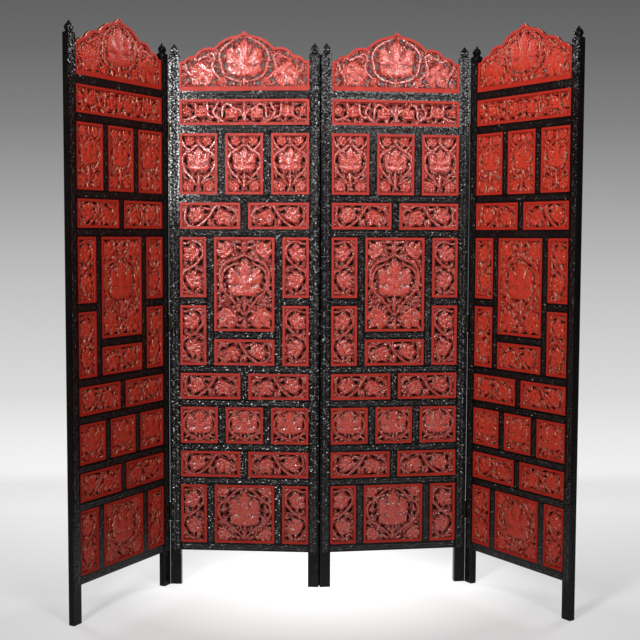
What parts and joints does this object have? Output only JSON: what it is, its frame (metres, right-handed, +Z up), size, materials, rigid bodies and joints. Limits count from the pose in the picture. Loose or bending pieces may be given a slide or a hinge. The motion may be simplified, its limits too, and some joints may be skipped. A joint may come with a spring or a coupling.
{
  "type": "folding screen",
  "caption": "Folding screen of hinged leaves: black lacquered frames hold red lacquered, pierced and carved panels under an arched crest.",
  "frame": {"origin": "on the floor, below the middle of the plan of the screen as it stands at rest", "axes": "+Z up, -Y towards the viewer in front, +X to the right as seen from the front"},
  "size_m": [1.5422, 0.4836, 1.845],
  "materials": {
    "black_lacquer": "carved wood under glossy black lacquer",
    "red_lacquer": "carved wood under glossy red lacquer",
    "hinge_brass": "dark aged brass",
    "screw_steel": "blackened steel"
  },
  "bodies": {
    "left_outer_leaf": {"left_outer_left_stile": "black_lacquer", "left_outer_right_stile": "black_lacquer", "left_outer_rails": "black_lacquer", "left_outer_muntins": "black_lacquer", "left_outer_crest": "red_lacquer", "left_outer_frieze": "red_lacquer", "left_outer_arch_panels": "red_lacquer", "left_outer_scroll_panels": "red_lacquer", "left_outer_side_panels": "red_lacquer", "left_outer_centre_panel": "red_lacquer", "left_outer_square_panels": "red_lacquer", "left_outer_base_panel": "red_lacquer", "left_outer_hinge_plates": "hinge_brass", "left_outer_hinge_screws": "screw_steel"},
    "left_inner_leaf": {"left_inner_left_stile": "black_lacquer", "left_inner_right_stile": "black_lacquer", "left_inner_rails": "black_lacquer", "left_inner_muntins": "black_lacquer", "left_inner_crest": "red_lacquer", "left_inner_frieze": "red_lacquer", "left_inner_arch_panels": "red_lacquer", "left_inner_scroll_panels": "red_lacquer", "left_inner_side_panels": "red_lacquer", "left_inner_centre_panel": "red_lacquer", "left_inner_square_panels": "red_lacquer", "left_inner_base_panel": "red_lacquer", "left_inner_hinge_plates": "hinge_brass", "left_inner_hinge_screws": "screw_steel", "left_fold_pins": "hinge_brass", "middle_fold_pins": "hinge_brass"},
    "right_inner_leaf": {"right_inner_left_stile": "black_lacquer", "right_inner_right_stile": "black_lacquer", "right_inner_rails": "black_lacquer", "right_inner_muntins": "black_lacquer", "right_inner_crest": "red_lacquer", "right_inner_frieze": "red_lacquer", "right_inner_arch_panels": "red_lacquer", "right_inner_scroll_panels": "red_lacquer", "right_inner_side_panels": "red_lacquer", "right_inner_centre_panel": "red_lacquer", "right_inner_square_panels": "red_lacquer", "right_inner_base_panel": "red_lacquer", "right_inner_hinge_plates": "hinge_brass", "right_inner_hinge_screws": "screw_steel", "right_fold_pins": "hinge_brass"},
    "right_outer_leaf": {"right_outer_left_stile": "black_lacquer", "right_outer_right_stile": "black_lacquer", "right_outer_rails": "black_lacquer", "right_outer_muntins": "black_lacquer", "right_outer_crest": "red_lacquer", "right_outer_frieze": "red_lacquer", "right_outer_arch_panels": "red_lacquer", "right_outer_scroll_panels": "red_lacquer", "right_outer_side_panels": "red_lacquer", "right_outer_centre_panel": "red_lacquer", "right_outer_square_panels": "red_lacquer", "right_outer_base_panel": "red_lacquer", "right_outer_hinge_plates": "hinge_brass", "right_outer_hinge_screws": "screw_steel"}
  },
  "joints": [
    {"name": "left_fold", "type": "hinge", "parent": "left_inner_leaf", "child": "left_outer_leaf", "pos_m": [-0.5098, 0.1939, 0.9], "axis": [0, 0, 1], "range_deg": [-66, 114]},
    {"name": "middle_fold", "type": "hinge", "parent": "left_inner_leaf", "child": "right_inner_leaf", "pos_m": [-0.01011, 0.17428, 0.9], "axis": [0, 0, 1], "range_deg": [-13, 167]},
    {"name": "right_fold", "type": "hinge", "parent": "right_inner_leaf", "child": "right_outer_leaf", "pos_m": [0.48787, 0.22003, 0.9], "axis": [0, 0, 1], "range_deg": [-114, 66]}
  ]
}
